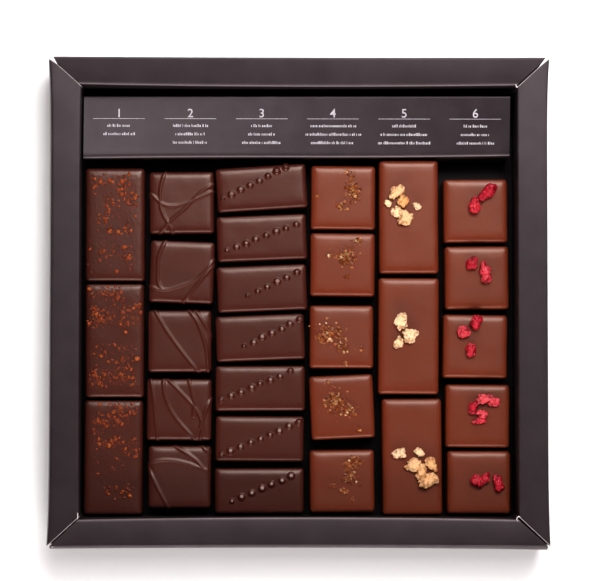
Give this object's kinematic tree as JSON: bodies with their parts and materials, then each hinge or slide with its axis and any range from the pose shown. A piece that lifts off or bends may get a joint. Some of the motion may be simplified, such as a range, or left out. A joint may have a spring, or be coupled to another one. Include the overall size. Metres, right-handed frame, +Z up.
{
  "type": "open box of chocolate pralines",
  "caption": "Shallow square black card tray with wide hollow mitred rails and a label bar, filled with coated chocolate squares and bars in six columns.",
  "frame": {"origin": "middle of the box's footprint, on the surface it stands on", "axes": "+X to the right as the label is read, +Y towards the label bar at the back, +Z up"},
  "size_m": [0.1808, 0.178, 0.024],
  "materials": {
    "black_card": "matt, dyed through, pale where it is cut",
    "dark_chocolate": "satin dark chocolate coat",
    "milk_chocolate": "satin milk chocolate coat"
  },
  "bodies": {
    "root": {"rail_back": "black_card", "rail_front": "black_card", "rail_left": "black_card", "rail_right": "black_card", "floor_panel": "black_card", "label_bar": "black_card", "flake_bar_1": "dark_chocolate", "flake_bar_2": "dark_chocolate", "flake_bar_3": "dark_chocolate", "ridged_square_1": "dark_chocolate", "ridged_square_2": "dark_chocolate", "ridged_square_3": "dark_chocolate", "ridged_square_4": "dark_chocolate", "ridged_square_5": "dark_chocolate", "dotted_bar_1": "dark_chocolate", "dotted_bar_2": "dark_chocolate", "dotted_bar_3": "dark_chocolate", "dotted_bar_4": "dark_chocolate", "dotted_bar_5": "dark_chocolate", "dotted_bar_6": "dark_chocolate", "dotted_bar_7": "dark_chocolate", "crystal_square_1": "milk_chocolate", "crystal_square_2": "milk_chocolate", "crystal_square_3": "milk_chocolate", "crystal_square_4": "milk_chocolate", "crystal_square_5": "milk_chocolate", "nut_bar_1": "milk_chocolate", "nut_bar_2": "milk_chocolate", "nut_bar_3": "milk_chocolate", "berry_square_1": "milk_chocolate", "berry_square_2": "milk_chocolate", "berry_square_3": "milk_chocolate", "berry_square_4": "milk_chocolate", "berry_square_5": "milk_chocolate"}
  },
  "joints": []
}
